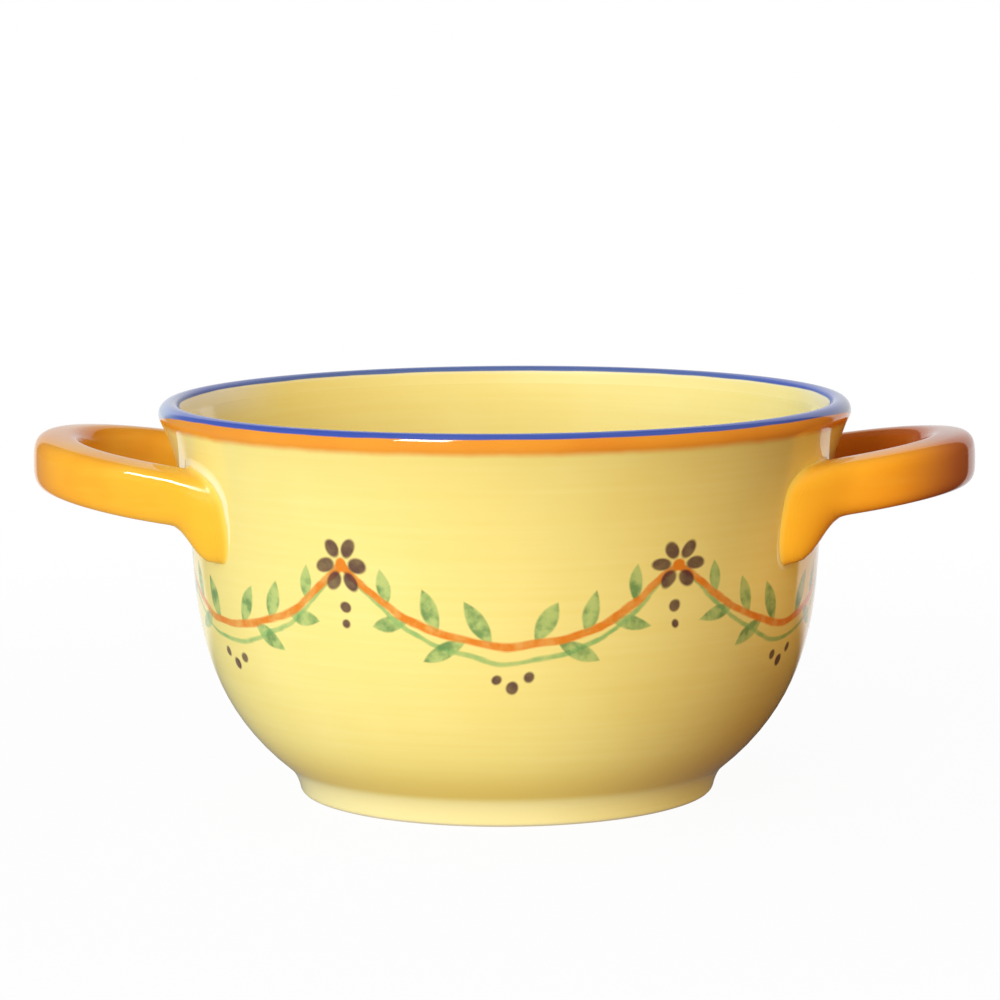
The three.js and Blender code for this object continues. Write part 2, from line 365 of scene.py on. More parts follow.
# %% [markdown]
# ## From the strap to the wall
#
# A root that met the wall in a sharp line would look pushed in. A potter's thumb leaves a hollow curve
# there, wider above and outside than below. So the places where the strap would meet the wall are found
# first, and each one gets a start on the strap, an end on the wall and a curve between them.

# %% Where the strap meets the wall
ROOT_RUNS = (-0.3, 0.5)
SEAT_SAMPLES = 8


def above_wall(point):
    """How far a point lies outside the wall."""
    return math.hypot(point.x, point.y) - wall_place(point.z)[0]


def onto_wall(point, height):
    """A point moved level, along its radius, until it stands so high above the wall."""
    radius = wall_place(point.z)[0] + height
    flat = Vector((point.x, point.y, 0)).normalized() * radius
    return Vector((flat.x, flat.y, point.z))


def wall_normal(point):
    """The way out of the wall at a point on it."""
    rise = wall_place(point.z)[1]
    radial = Vector((point.x, point.y, 0)).normalized()
    return (radial * rise.z - Vector((0, 0, rise.x))).normalized()


def root_run(turn):
    """The run at which the strap's skin, at one turn of its section, meets the wall."""
    return crossing(lambda run: above_wall(strap_point(turn, run)), *ROOT_RUNS)


def seat_point(turn):
    """Where the strap's skin would meet the wall, at one turn of its section."""
    return strap_point(turn, root_run(turn))


seat_turns = [2 * math.pi * sample / SEAT_SAMPLES for sample in range(SEAT_SAMPLES)]
seat_middle = sum((seat_point(turn) for turn in seat_turns), Vector()) / SEAT_SAMPLES
print(f"the middle of the front root is {seat_middle.z / MM:.1f} mm up")

# %% The hollow curve from the strap to the wall
SECTION_STEPS = 48
RING_STEPS = 2 * SECTION_STEPS
NARROW_HOLLOW = 0.5 * MM
WIDE_HOLLOW = 2.1 * MM
WIDE_TURN = math.radians(60)
SUNK = 0.3 * MM
SLOPE_STEP = 0.002
RootEdge = namedtuple("RootEdge", "corner start_run on_strap width outward away")


def root_edge(turn):
    """At one turn of the section: the corner at the wall, the run and point where the hollow starts on
    the strap, how wide the hollow is, the way out of the wall, and the way along it from the root."""
    run = root_run(turn)
    corner = strap_point(turn, run)
    outward = wall_normal(corner)
    away = (seat_point(turn + SLOPE_STEP) - corner).cross(outward).normalized()
    if away.dot(corner - seat_middle) < 0:
        away = -away
    widening = ((1 + math.cos(turn - WIDE_TURN)) / 2) ** 2
    width = NARROW_HOLLOW + (WIDE_HOLLOW - NARROW_HOLLOW) * widening
    reach = (strap_point(turn, run + SLOPE_STEP) - corner).length / SLOPE_STEP
    start_run = run + width / reach
    return RootEdge(corner, start_run, strap_point(turn, start_run), width, outward, away)


root_edges = [root_edge(2 * math.pi * step / RING_STEPS) for step in range(RING_STEPS)]


def edge_at(share):
    """The root's edge, a share of the way round the section."""
    return root_edges[round(share * RING_STEPS) % RING_STEPS]


def arch(start, middle, end, share):
    """A place on a curve that leaves start towards middle, and reaches end from there."""
    rest = 1 - share
    return start * rest**2 + middle * 2 * share * rest + end * share**2


def hollow(edge, share):
    """A place on the hollow curve, from the strap, at share 0, to the wall, at share 1."""
    on_wall = onto_wall(edge.corner + edge.away * edge.width, -SUNK)
    return arch(edge.on_strap, edge.corner, on_wall, share)


print("the edge of each root is worked out at", RING_STEPS, "places")

# %% Wrap a grid into the right handle
STRAP_STEPS = 50
HOLLOW_STEPS = 10
HALF_STEPS = STRAP_STEPS + HOLLOW_STEPS
STRAP_SHARE = STRAP_STEPS / HALF_STEPS


def wrapped_grid(name, columns, rows, place):
    """A flat grid whose points go to place(column share, row share), closed into a solid."""
    bpy.ops.object.select_all(action="DESELECT")
    bpy.ops.mesh.primitive_grid_add(x_subdivisions=columns, y_subdivisions=rows, size=1)
    piece = bpy.context.object
    piece.name = name
    for point in piece.data.vertices:
        point.co = place(point.co.x + 0.5, point.co.y + 0.5)
    merge_close(SEAM)
    edit_all()
    bpy.ops.mesh.fill_holes(sides=0)
    bpy.ops.object.mode_set(mode="OBJECT")
    close_and_smooth(piece)
    return piece


def handle_place(column, row):
    """Both halves of the strap: columns run from the front root, round the loop, to the back root."""
    edge = edge_at(row)
    half = abs(2 * column - 1)
    if half <= STRAP_SHARE:
        run = 1 + (edge.start_run - 1) * half / STRAP_SHARE
        point = strap_point(2 * math.pi * row, run)
    else:
        point = hollow(edge, (half - STRAP_SHARE) / (1 - STRAP_SHARE))
    return point if column <= 0.5 else Vector((point.x, -point.y, point.z))


handle_right = wrapped_grid("loop_handle_right", 2 * HALF_STEPS, SECTION_STEPS, handle_place)

# %% [markdown]
# ## The slip joints
#
# Handles are stuck on with slip, liquid clay, and the potter wipes what squeezes out into a soft bead
# round each root. It catches the light, and the glaze runs thin and pale over it. The CAD pad is the
# layer of slip under the root. Here the same piece is the bead that shows: another wrapped grid, which
# goes round the root one way and across the bead the other.

# %% Wrap a grid into the front bead, and mirror it for the back one
BEAD_START = 0.55
BEAD_MIDDLE = 0.57
BEAD_HEIGHT = 0.06
BEAD_REACH = 2.2 * MM
BEAD_SUNK = 0.45 * MM
FACE_STEPS = 8
HIDDEN_STEPS = 4
BEAD_ROWS = FACE_STEPS + HIDDEN_STEPS
BURIED = 0.7 * MM


def bead_place(column, row):
    """Round the ring by column. By row, over the face of the bead and back under it."""
    edge = edge_at(column)
    start = hollow(edge, BEAD_START)
    middle = edge.corner + edge.away * edge.width * BEAD_MIDDLE
    middle = onto_wall(middle, edge.width * BEAD_HEIGHT)
    end = onto_wall(edge.corner + edge.away * (edge.width + BEAD_REACH), -BEAD_SUNK)
    step = round(row * BEAD_ROWS) % BEAD_ROWS
    if step <= FACE_STEPS:
        return arch(start, middle, end, step / FACE_STEPS)
    deep = edge.corner - (edge.outward + edge.away) * BURIED
    return arch(end, deep, start, (step - FACE_STEPS) / HIDDEN_STEPS)


def own_copy(piece, name):
    """A copy of a piece with its own mesh, selected alone."""
    bpy.ops.object.select_all(action="DESELECT")
    piece.select_set(True)
    bpy.context.view_layer.objects.active = piece
    bpy.ops.object.duplicate(linked=False)
    copy = bpy.context.object
    copy.name = name
    return copy


def mirrored_copy(piece, name):
    """A copy, mirrored from the front to the back."""
    copy = own_copy(piece, name)
    copy.scale.y = -1
    bpy.ops.object.transform_apply(location=False, rotation=False, scale=True)
    close_and_smooth(copy)
    return copy


slip_right_front = wrapped_grid("slip_bead_right_front", RING_STEPS, BEAD_ROWS, bead_place)
slip_right_back = mirrored_copy(slip_right_front, "slip_bead_right_back")
print(f"each root spreads {slip_right_front.dimensions.z / MM:.1f} mm up the wall")

# %% [markdown]
# ## Set by hand
#
# The CAD handles are exactly square to the bowl. On the real one a potter set them by eye: each is
# turned a little on its roots, front to back, and the left one sits a hair higher than the right one.
# The right one's front root was pressed on harder, so the soft clay is smeared forwards and down. The
# right handle is smeared and turned first, then copied half round for the left, and both are tipped.

# %% Smear and turn the right handle
TURNED_BY = math.radians(1.5)
DRAG_REACH = 9 * MM
DRAGGED_ROUND = math.radians(3)
DRAGGED_DOWN = 1.8 * MM
ROOT_INSIDE = 22 * MM
ROOT_WIDTH = 9 * MM


def drag_root(piece):
    """Smear the front root of a piece along the wall: forwards on its outer side, and down at its tip."""
    for point in piece.data.vertices:
        stands = above_wall(point.co)
        near = smooth_step(1 - stands / DRAG_REACH)
        outer = smooth_step((-point.co.y - ROOT_INSIDE) / ROOT_WIDTH)
        low = smooth_step((ARM_HEIGHT - point.co.z) / STRAP_HEIGHT)
        low *= smooth_step(-point.co.y / ROOT_WIDTH)
        dragged = point.co.copy()
        dragged.rotate(Matrix.Rotation(-DRAGGED_ROUND * near * outer, 3, "Z"))
        dragged.z -= DRAGGED_DOWN * near * low
        point.co = onto_wall(dragged, stands)


def set_by_hand(pieces, axis, angle):
    """Turn some pieces about an axis through the middle of the arms."""
    to_arms = Matrix.Translation((0, 0, ARM_HEIGHT))
    for piece in pieces:
        piece.data.transform(to_arms @ Matrix.Rotation(angle, 4, axis) @ to_arms.inverted())


for piece in (handle_right, slip_right_front):
    drag_root(piece)
set_by_hand([handle_right, slip_right_front, slip_right_back], "X", -TURNED_BY)
print(f"the right front root is smeared {DRAGGED_DOWN / MM:.1f} mm down")

# %% Copy the right handle for the left one, and tip them both
TIPPED_BY = math.radians(0.3)


def half_round_copy(piece, name):
    """A copy, turned half round the axis of the bowl."""
    copy = own_copy(piece, name)
    copy.rotation_euler.z = math.pi
    bpy.ops.object.transform_apply(location=False, rotation=True, scale=False)
    return copy


handle_left = half_round_copy(handle_right, "loop_handle_left")
slip_left_back = half_round_copy(slip_right_front, "slip_bead_left_back")
slip_left_front = half_round_copy(slip_right_back, "slip_bead_left_front")
slip_beads = [slip_right_front, slip_right_back, slip_left_front, slip_left_back]
set_by_hand([handle_right, handle_left, *slip_beads], "Y", TIPPED_BY)
print("two handles and", len(slip_beads), "beads, set by hand")

# %% [markdown]
# ## A way to write finishes
#
# A finish is a small graph of nodes. Wiring each node by hand would hide the idea, so one class wraps a
# socket: a sum or product of two such sockets adds the Math node that works it out, and its `node`
# method adds any other kind. A mask is then written as the formula that it is. Where it rises over a
# stretch of the piece, a named pair says where it is still 0 and where it is 1.

# %% Sockets that can be added and multiplied
class Paint:
    """An output socket of a node. Arithmetic on it adds nodes to the same tree."""

    def __init__(self, socket):
        self.socket = socket

    def node(self, kind, settings, inputs, output=0):
        """Add a node: its kind, its settings, then the values or links of its input sockets."""
        tree = self.socket.id_data
        made = tree.nodes.new(kind)
        for name, setting in settings.items():
            setattr(made, name, setting)
        for name, value in inputs.items():
            if isinstance(value, Paint):
                tree.links.new(value.socket, made.inputs[name])
            else:
                made.inputs[name].default_value = value
        return Paint(made.outputs[output])

    def math(self, operation, first, second):
        """A Math node on two numbers or sockets."""
        return self.node("ShaderNodeMath", {"operation": operation}, {0: first, 1: second})

    def __add__(self, other):
        return self.math("ADD", self, other)

    __radd__ = __add__

    def __sub__(self, other):
        return self.math("SUBTRACT", self, other)

    def __rsub__(self, other):
        return self.math("SUBTRACT", other, self)

    def __mul__(self, other):
        return self.math("MULTIPLY", self, other)

    __rmul__ = __mul__

    def __truediv__(self, other):
        return self.math("DIVIDE", self, other)

    def __pow__(self, other):
        return self.math("POWER", self, other)

    def __abs__(self):
        return self.math("ABSOLUTE", self, 0)

    def either(self, other):
        """The larger of two masks."""
        return self.math("MAXIMUM", self, other)

    def rise(self, low, high):
        """A soft step: 0 up to low, 1 from high on, or the other way round where high is below low."""
        inputs = {"Value": self, "From Min": low, "From Max": high}
        return self.node("ShaderNodeMapRange", {"interpolation_type": "SMOOTHSTEP"}, inputs)

    def split(self):
        """The first part of a vector. Its beside(1) and beside(2) are the other two."""
        return self.node("ShaderNodeSeparateXYZ", {}, {0: self})

    def beside(self, output):
        """Another output of the same node."""
        return Paint(self.socket.node.outputs[output])


print("sockets can be added and multiplied")

# %% Colours, finishes and noise
BUMP_DEPTH = 0.05 * MM


def srgb(red, green, blue):
    """A colour as it is read off a screen, from 0 to 255, made linear for the renderer."""
    linear = []
    for channel in (red, green, blue):
        share = channel / 255
        linear.append(share / 12.92 if share <= 0.04045 else ((share + 0.055) / 1.055) ** 2.4)
    return (*linear, 1)


def coat(mask, under, over):
    """One colour laid over another where a mask says so."""
    return mask.node("ShaderNodeMix", {"data_type": "RGBA"}, {0: mask, 6: under, 7: over}, 2)


def new_finish(name):
    """A material, its shader, and the place on the piece in millimetres."""
    material = bpy.data.materials.new(name)
    material.use_nodes = True
    tree = material.node_tree
    metres = Paint(tree.nodes.new("ShaderNodeTexCoord").outputs["Object"])
    place = metres.node("ShaderNodeVectorMath", {"operation": "SCALE"}, {0: metres, "Scale": 1 / MM})
    return material, tree.nodes["Principled BSDF"], place


def on_grid(place):
    """The place on a wrapped grid's own UV map: first the share of its columns, then of its rows."""
    return place.node("ShaderNodeUVMap", {"uv_map": "UVMap"}, {}).split()


def feed(shader, socket, paint):
    """Link a worked-out value or colour to a socket of the shader."""
    shader.id_data.links.new(paint.socket, shader.inputs[socket])


def emboss(shader, relief, strength):
    """Raise the surface a little where a relief is high."""
    inputs = {"Height": relief, "Strength": strength, "Distance": BUMP_DEPTH}
    feed(shader, "Normal", relief.node("ShaderNodeBump", {}, inputs))


def noise(place, scale, detail=2.0, output="Fac"):
    """Cloudy noise, with about this many clouds to a millimetre."""
    inputs = {"Vector": place, "Scale": scale, "Detail": detail}
    return place.node("ShaderNodeTexNoise", {}, inputs, output)


def stretched(place, scale):
    """A place scaled along each axis, so that noise on it is drawn out into strokes."""
    return place.node("ShaderNodeMapping", {"vector_type": "POINT"}, {"Vector": place, "Scale": scale})


print(f"relief on the glazes is at most {BUMP_DEPTH / MM} mm deep")

# %% [markdown]
# ## The yellow glaze
#
# The glaze is brushed on while the bowl turns, so it has faint level streaks and soft clouds where it
# is thicker. The crease above the foot is painted darker as shade, and the foot is painted pale, for
# thin glaze and, more on its left, for painted light. One flat colour would look like plastic, so each
# of these is a mask that lays one colour over another.

# %% Where a point is on the bowl
CREST_EDGE = 0.2
yellow_glaze, bowl_shader, place = new_finish("yellow_glaze_painted")
across = place.split()
depth = across.beside(1)
height = across.beside(2)
angle = across.math("ARCTAN2", depth, across)
lip = place.node("ShaderNodeAttribute", {"attribute_name": "from_lip"}, {}, "Fac")
outside = lip.rise(CREST_EDGE, -CREST_EDGE)
print("the bowl's finish reads its distance from the lip, its height and its angle")

# %% The glaze itself, with level brush streaks and soft clouds
YELLOW = srgb(247, 226, 140)
PALE_YELLOW = srgb(252, 236, 160)
AMBER = srgb(230, 197, 100)
FOOT_PALE = srgb(250, 236, 190)
LEVEL_STREAKS = (0.02, 0.02, 0.8)
GLAZE_CLOUDS = 0.045
GLAZE_SPECKS = 0.9
CREASE_SHADE = (17, 6)
CREASE = (5.2, 6.8)
FOOT_BELOW_CREASE = (6.8, 4.6)
LIT_FOOT_SIDE = (50, 0)


def yellow_coat(place):
    """The bare yellow glaze, and the streaks and clouds in it."""
    streaks = noise(stretched(place, LEVEL_STREAKS), 1.0, 3.0)
    clouds = noise(place, GLAZE_CLOUDS)
    thick = streaks.rise(0.3, 0.75) * 0.3 + clouds.rise(0.35, 0.75) * 0.3
    return coat(thick, YELLOW, PALE_YELLOW), streaks, clouds


glaze, streaks, clouds = yellow_coat(place)
specks = noise(place, GLAZE_SPECKS, 1.0)
# Painted shade: the lower belly just above the foot is darkened to amber, as if in shade.
shaded = height.rise(*CREASE_SHADE) * height.rise(*CREASE) * outside
glaze = coat(shaded * 0.8, glaze, AMBER)
on_foot = height.rise(*FOOT_BELOW_CREASE) * outside
# The foot is painted pale: thin glaze, and painted light that is stronger on its left side.
thin_and_lit_foot = on_foot * (across.rise(*LIT_FOOT_SIDE) * 0.5 + 0.1)
glaze = coat(thin_and_lit_foot, glaze, FOOT_PALE)
print("streaks, clouds and a pooled crease above the foot")

# %% [markdown]
# ## The garland
#
# The border is six swags of line and leaf, drawn with a soft brush, with a rosette of petals where two
# swags meet. It could be an image, but formulas stay sharp at any size. The angle round the bowl is
# folded into one swag, and that once more into its half, so each leaf is described only once. A little
# noise moves the place before anything is drawn, which makes the repeats look hand-drawn.

# %% Fold the belly into half a swag
SWAGS = 6
BELLY_RADIUS = 63
HALF_SWAG = math.pi * BELLY_RADIUS / SWAGS
SWAG_TOP = 53.5
SWAG_DROP = 14.5
SWAG_BOTTOM = SWAG_TOP - SWAG_DROP
WOBBLE = 2.6
WOBBLE_CLOUDS = 0.075
hand = noise(place, WOBBLE_CLOUDS, 1.0, "Color")
shake = hand.split()
turns = (angle + math.pi / 2) * (SWAGS / (2 * math.pi)) + 0.5
fold = turns.math("FRACT", turns, 0) - 0.5
along = abs(fold * (2 * HALF_SWAG) + (shake - 0.5) * WOBBLE)
level = height + (shake.beside(1) - 0.5) * WOBBLE
print(f"each swag is {2 * HALF_SWAG:.1f} mm wide and hangs {SWAG_DROP} mm")

# %% Brushes: a line, a leaf and a dot
SOFT_EDGE = 0.28


def inked(inside):
    """A soft-edged mask of where a stroke is, from the distance inside its edge."""
    return inside.rise(-SOFT_EDGE, SOFT_EDGE)


def swag_line(drop, width):
    """A line that hangs like a cord, of the same width all along."""
    slope = along * (2 * drop / HALF_SWAG**2)
    gap = abs(level - ((along * (1 / HALF_SWAG)) ** 2 * drop + (SWAG_TOP - drop)))
    gap = gap / ((slope * slope + 1) ** 0.5)
    half = (streaks - 0.5) * 0.8 + width / 2
    return inked(half - gap)


def leaf(position, lean, length, width):
    """A leaf in one stroke, set on the line so far from the middle, leaning so much from level."""
    base = SWAG_BOTTOM + SWAG_DROP * (position / HALF_SWAG) ** 2
    run = math.cos(math.radians(lean))
    climb = math.sin(math.radians(lean))
    to_side = along - position
    to_top = level - base
    share = to_side * (run / length) + to_top * (climb / length)
    gap = abs(to_top * run - to_side * climb)
    half = share * (1 - share) * (2 * width)
    return inked(half - gap)


def length_of(one, other):
    """The length of a way that goes so far along one axis and so far along the other."""
    return (one * one + other * other) ** 0.5


def round_dab(distance, radius):
    """A round dab of the brush, from the distance to its middle."""
    return distance.rise(radius + SOFT_EDGE, radius - SOFT_EDGE)


def dot(position, dot_height, radius):
    """A dot, so far from the middle of the swag and so high."""
    return round_dab(length_of(along - position, level - dot_height), radius)


def together(brush, strokes):
    """All the strokes of one brush as one mask."""
    mask = brush(*strokes[0])
    for stroke in strokes[1:]:
        mask = mask.either(brush(*stroke))
    return mask


print(f"the brushes leave an edge {2 * SOFT_EDGE} mm soft")

# %% Draw the leaves, the lines and the dots
VINE_BELOW = 3.2
VINE_WIDTH = 0.9
LINE_WIDTH = 1.5
# Each leaf: its place along the line, its lean, length and width
LEAVES = [
    (4.5, 62, 9.5, 3.6),
    (9.0, -28, 9.0, 3.2),
    (14.0, 72, 8.5, 3.2),
    (19.0, -12, 8.5, 3.0),
    (24.0, 84, 7.0, 2.8),
]
# Each dot: its place along the swag, its height and radius
DOTS = [
    (HALF_SWAG, SWAG_TOP - 8.2, 1.15),
    (HALF_SWAG, SWAG_TOP - 11.6, 0.85),
    (0, SWAG_BOTTOM - 8.0, 1.2),
    (3.1, SWAG_BOTTOM - 6.2, 1.0),
]
leaves = together(leaf, LEAVES)
dots = together(dot, DOTS)
vine = swag_line(SWAG_DROP + VINE_BELOW, VINE_WIDTH)
line = swag_line(SWAG_DROP, LINE_WIDTH)
print(len(LEAVES), "leaves and", len(DOTS), "dots on each half of a swag")

# %% Draw a rosette where two swags meet
PETALS = 6
PETAL_RING = 3.5
PETAL_SIZE = 1.35
PETAL_STRETCH = 1.45
HEART_SIZE = 1.2
from_knot = HALF_SWAG - along
above_knot = level - SWAG_TOP
knot_distance = length_of(from_knot, above_knot)
knot_turn = from_knot.math("ARCTAN2", above_knot, from_knot) * (PETALS / (2 * math.pi))
petal_turn = (knot_turn.math("FRACT", knot_turn + 0.5, 0) - 0.5) * (2 * math.pi / PETALS)
petal_out = (knot_distance * petal_turn.math("COSINE", petal_turn, 0) - PETAL_RING) / PETAL_STRETCH
petal_side = knot_distance * petal_turn.math("SINE", petal_turn, 0)
petals = round_dab(length_of(petal_out, petal_side), PETAL_SIZE)
knot_heart = round_dab(knot_distance, HEART_SIZE)
print("rosettes of", PETALS, "petals")

# %% Lay the garland's colours over the glaze
LEAF_GREEN = srgb(142, 186, 112)
DEEP_GREEN = srgb(104, 148, 88)
LINE_ORANGE = srgb(232, 134, 40)
AUBERGINE = srgb(88, 54, 58)
INK_CLOUDS = 0.35
ink = noise(place, INK_CLOUDS, 3.0)
wash = ink.rise(0.25, 0.75) * 0.35 + 0.6
painted = coat(vine * wash * outside, glaze, LEAF_GREEN)
leaf_green = coat(ink.rise(0.4, 0.65), LEAF_GREEN, DEEP_GREEN)
painted = coat(leaves * wash * outside, painted, leaf_green)
painted = coat(line * (wash + 0.1) * outside, painted, LINE_ORANGE)
painted = coat(petals.either(dots) * (wash * 0.4 + 0.58) * outside, painted, AUBERGINE)
painted = coat(knot_heart * outside, painted, LINE_ORANGE)
print("a garland of", SWAGS, "swags")

# %% [markdown]
# ## The painted lip
#
# Over the glaze lie an orange band, feathered along its lower edge, and a blue lip, painted pale at
# both sides as a painted reflection. Just inside the lip, at both ends, a painted reflection pales the
# yellow too. They could be rings of faces, but a brush doesn't follow faces: masks of the distance from
# the lip do. The foot's standing face is wiped clean, so there the clay is bare and dry.

# %% The orange band
BAND_ORANGE = srgb(240, 152, 42)
BAND_DEEP = srgb(232, 136, 34)
BAND_LOW = -5.35
BAND_FEATHER = 0.95
BAND_RAGGED = 0.8
RAGGED_CLOUDS = 0.16
ragged = (noise(place, RAGGED_CLOUDS) - 0.5) * BAND_RAGGED
feathered = (lip + ragged).rise(BAND_LOW - BAND_FEATHER, BAND_LOW + BAND_FEATHER) * outside
band_colour = coat(clouds.rise(0.4, 0.7) * 0.7, BAND_ORANGE, BAND_DEEP)
finished = coat(feathered * 0.96, painted, band_colour)
print(f"an orange band, down to {-BAND_LOW} mm from the crest of the lip")

# %% A painted reflection just inside the lip at both ends, and a cream line under the blue
INSIDE_SHEEN = srgb(246, 240, 224)
CREAM = srgb(253, 242, 200)
BLUE_INSIDE = 2.2
SHEEN_BELOW_LIP = (12, 2)
INSIDE_LIP = (0, 1)
LEFT_END = (-45, -62)
RIGHT_END = (60, 68)
CREAM_BELOW_BLUE = 0.2
CREAM_WIDTH = (0.45, 0.15)
# Painted reflection: just inside the lip, at both ends, where the wall is seen at a grazing angle, the
# yellow is paled.
sheen_ends = across.rise(*LEFT_END) + across.rise(*RIGHT_END) * 0.6
inside_sheen = lip.rise(*SHEEN_BELOW_LIP) * lip.rise(*INSIDE_LIP) * sheen_ends
finished = coat(inside_sheen, finished, INSIDE_SHEEN)
thin_line = abs(lip - BLUE_INSIDE - CREAM_BELOW_BLUE).rise(*CREAM_WIDTH)
finished = coat(thin_line * 0.35, finished, CREAM)
print(f"thin glaze to {SHEEN_BELOW_LIP[0]} mm inside the lip, at both ends")

# %% The blue lip
LIP_BLUE = srgb(64, 88, 176)
LIP_PALE = srgb(98, 122, 192)
LIP_GREY = srgb(108, 128, 156)
LIP_SHEEN = srgb(184, 202, 216)
BLUE_OUTSIDE = 2.25
BLUE_EDGE = 0.15
BLUE_WANDER = 0.4
BLUE_SAG = 2.4
SAG_POWER = 24
GREY_BACK = (20, 60)
SHEEN_SIDES = (0.8, 1.0)
MORE_SHEEN_LEFT = (40, -40)
sideways = across / (RIM_RADIUS / MM)
sag = sideways**SAG_POWER * BLUE_SAG
brush = (shake.beside(2) - 0.5) * BLUE_WANDER
blue_low = (lip + brush + sag).rise(-BLUE_OUTSIDE - BLUE_EDGE, -BLUE_OUTSIDE + BLUE_EDGE)
blue_high = (lip + brush).rise(BLUE_INSIDE + BLUE_EDGE, BLUE_INSIDE - BLUE_EDGE)
blue_colour = coat(streaks.rise(0.4, 0.7) * 0.4, LIP_BLUE, LIP_PALE)
blue_colour = coat(depth.rise(*GREY_BACK) * 0.5, blue_colour, LIP_GREY)
# Painted reflection: the blue is paled at both ends of the lip, more on the left.
lip_sheen_ends = (sideways * sideways).rise(*SHEEN_SIDES) * (across.rise(*MORE_SHEEN_LEFT) * 0.4 + 0.35)
blue_colour = coat(lip_sheen_ends, blue_colour, LIP_SHEEN)
finished = coat(blue_low * blue_high, finished, blue_colour)
print(f"a blue lip, {BLUE_INSIDE} mm down the inside and {BLUE_OUTSIDE} mm down the outside")

# %% The bare foot, the gloss and the relief
BARE_CLAY = srgb(226, 214, 190)
BARE_FOOT = (0.75, 0.3)
GLAZE_ROUGHNESS = 0.07
DULL_INSIDE = 3.2
DULL_WIDTH = (2.4, 1.2)
BRUSHED_BELOW_LIP = (3, 8)
BOWL_BUMP = 0.25
bare = height.rise(*BARE_FOOT)
finished = coat(bare, finished, BARE_CLAY)
feed(bowl_shader, "Base Color", finished)
dull = abs(lip - DULL_INSIDE).rise(*DULL_WIDTH)
roughness = (specks - 0.5) * 0.03 + GLAZE_ROUGHNESS + bare * 0.6 + dull * 0.4
feed(bowl_shader, "Roughness", roughness)
brushed = abs(lip).rise(*BRUSHED_BELOW_LIP)
emboss(bowl_shader, (streaks * 0.6 + clouds * 0.4) * brushed + bare * specks * 2.0, BOWL_BUMP)
bowl.data.materials.append(yellow_glaze)
print(f"bare clay on the lowest {BARE_FOOT[0]} mm of the foot")

# %% [markdown]
# ## The orange glaze of the handles
#
# The handles are brushed with a stronger, more see-through glaze. It is deeper where it lies thick, on
# the far end of the loops, and yellow where it runs thin, in the hollows at the roots. Painted shade
# darkens the inner faces of the loops and, more, the right handle, which is on the shaded side, and
# painted light makes the strap paler towards the roots. Clouds and streaks come from the same kind of
# noise as the bowl's, as if one hand had brushed both.

# %% Soft streaks along the strap
STRAP_ORANGE = srgb(250, 180, 50)
STRAP_PALE = srgb(254, 192, 66)
STRAP_DEEP = srgb(243, 156, 34)
STRAP_STREAKS = (0.05, 0.05, 0.5)
STRAP_CLOUDS = 0.06
orange_glaze, strap_shader, place = new_finish("orange_glaze_streaked")


def orange_coat(place):
    """The orange glaze, and the streaks and clouds in it."""
    streaks = noise(stretched(place, STRAP_STREAKS), 1.0, 3.0)
    clouds = noise(place, STRAP_CLOUDS)
    colour = coat(streaks.rise(0.4, 0.75) * 0.6, STRAP_ORANGE, STRAP_PALE)
    return coat(clouds.rise(0.45, 0.75) * 0.5, colour, STRAP_DEEP), streaks, clouds


strap_colour, strap_streaks, strap_clouds = orange_coat(place)
print("the orange glaze has streaks and clouds of its own")

# %% Deeper round the loop, yellow in the root hollows, painted shade on the inner faces and the right handle, painted light towards the roots
RIGHT_SHADE_ORANGE = srgb(248, 146, 24)
LIT_ROOT_ORANGE = srgb(255, 204, 58)
END_ORANGE = srgb(232, 130, 34)
LOOP_SHADE_BROWN = srgb(188, 102, 60)
INNER_SHADE_ORANGE = srgb(200, 96, 14)
THIN_YELLOW = srgb(253, 228, 116)
TO_ROOT = (0.5, 0.95)
TO_END = (0.5, 0.05)
BROWN_END = (0.6, 0.26)
THIN_ROOT = (STRAP_SHARE - 0.02, STRAP_SHARE + 0.14)
SOFT_ROOT = (0.74, 0.84)
INNER_FACE = (0.27, 0.13)
STRAP_ROUGHNESS = 0.04
STRAP_BUMP = 0.2
along_strap = on_grid(place)
round_strap = along_strap.beside(1)
from_end = abs(along_strap - 0.5) * 2
on_right = place.split().rise(-1, 1)
# Painted shade: the right handle, on the shaded side, is deeper orange, and brown towards its far end.
strap_colour = coat(on_right * 0.5, strap_colour, RIGHT_SHADE_ORANGE)
# Painted light: the strap is paler towards the roots, which face the lamps.
strap_colour = coat(from_end.rise(*TO_ROOT) * 0.7, strap_colour, LIT_ROOT_ORANGE)
strap_colour = coat(from_end.rise(*TO_END) * 0.6, strap_colour, END_ORANGE)
strap_colour = coat(from_end.rise(*BROWN_END) * on_right * 0.9, strap_colour, LOOP_SHADE_BROWN)
# Painted shade: the inner faces of the loops are darkened, more on the right handle.
inner_face = abs(round_strap - 0.5).rise(*INNER_FACE)
strap_colour = coat(inner_face * (on_right * 0.55 + 0.3), strap_colour, INNER_SHADE_ORANGE)
strap_colour = coat(from_end.rise(*THIN_ROOT) * 0.85, strap_colour, THIN_YELLOW)
feed(strap_shader, "Base Color", strap_colour)
softer = from_end.rise(*SOFT_ROOT) * 0.25
feed(strap_shader, "Roughness", strap_clouds * 0.04 + STRAP_ROUGHNESS + softer)
emboss(strap_shader, strap_streaks + strap_clouds, STRAP_BUMP)
for handle in (handle_right, handle_left):
    handle.data.materials.append(orange_glaze)
print("orange glaze on two handles")

# %% [markdown]
# ## The glazed slip
#
# Over the beads the orange of the handle fades into the yellow of the wall, with a cream line where both
# glazes run thin, which is in part a painted highlight. The second axis of the bead's UV map goes across
# it, from the strap to the wall.

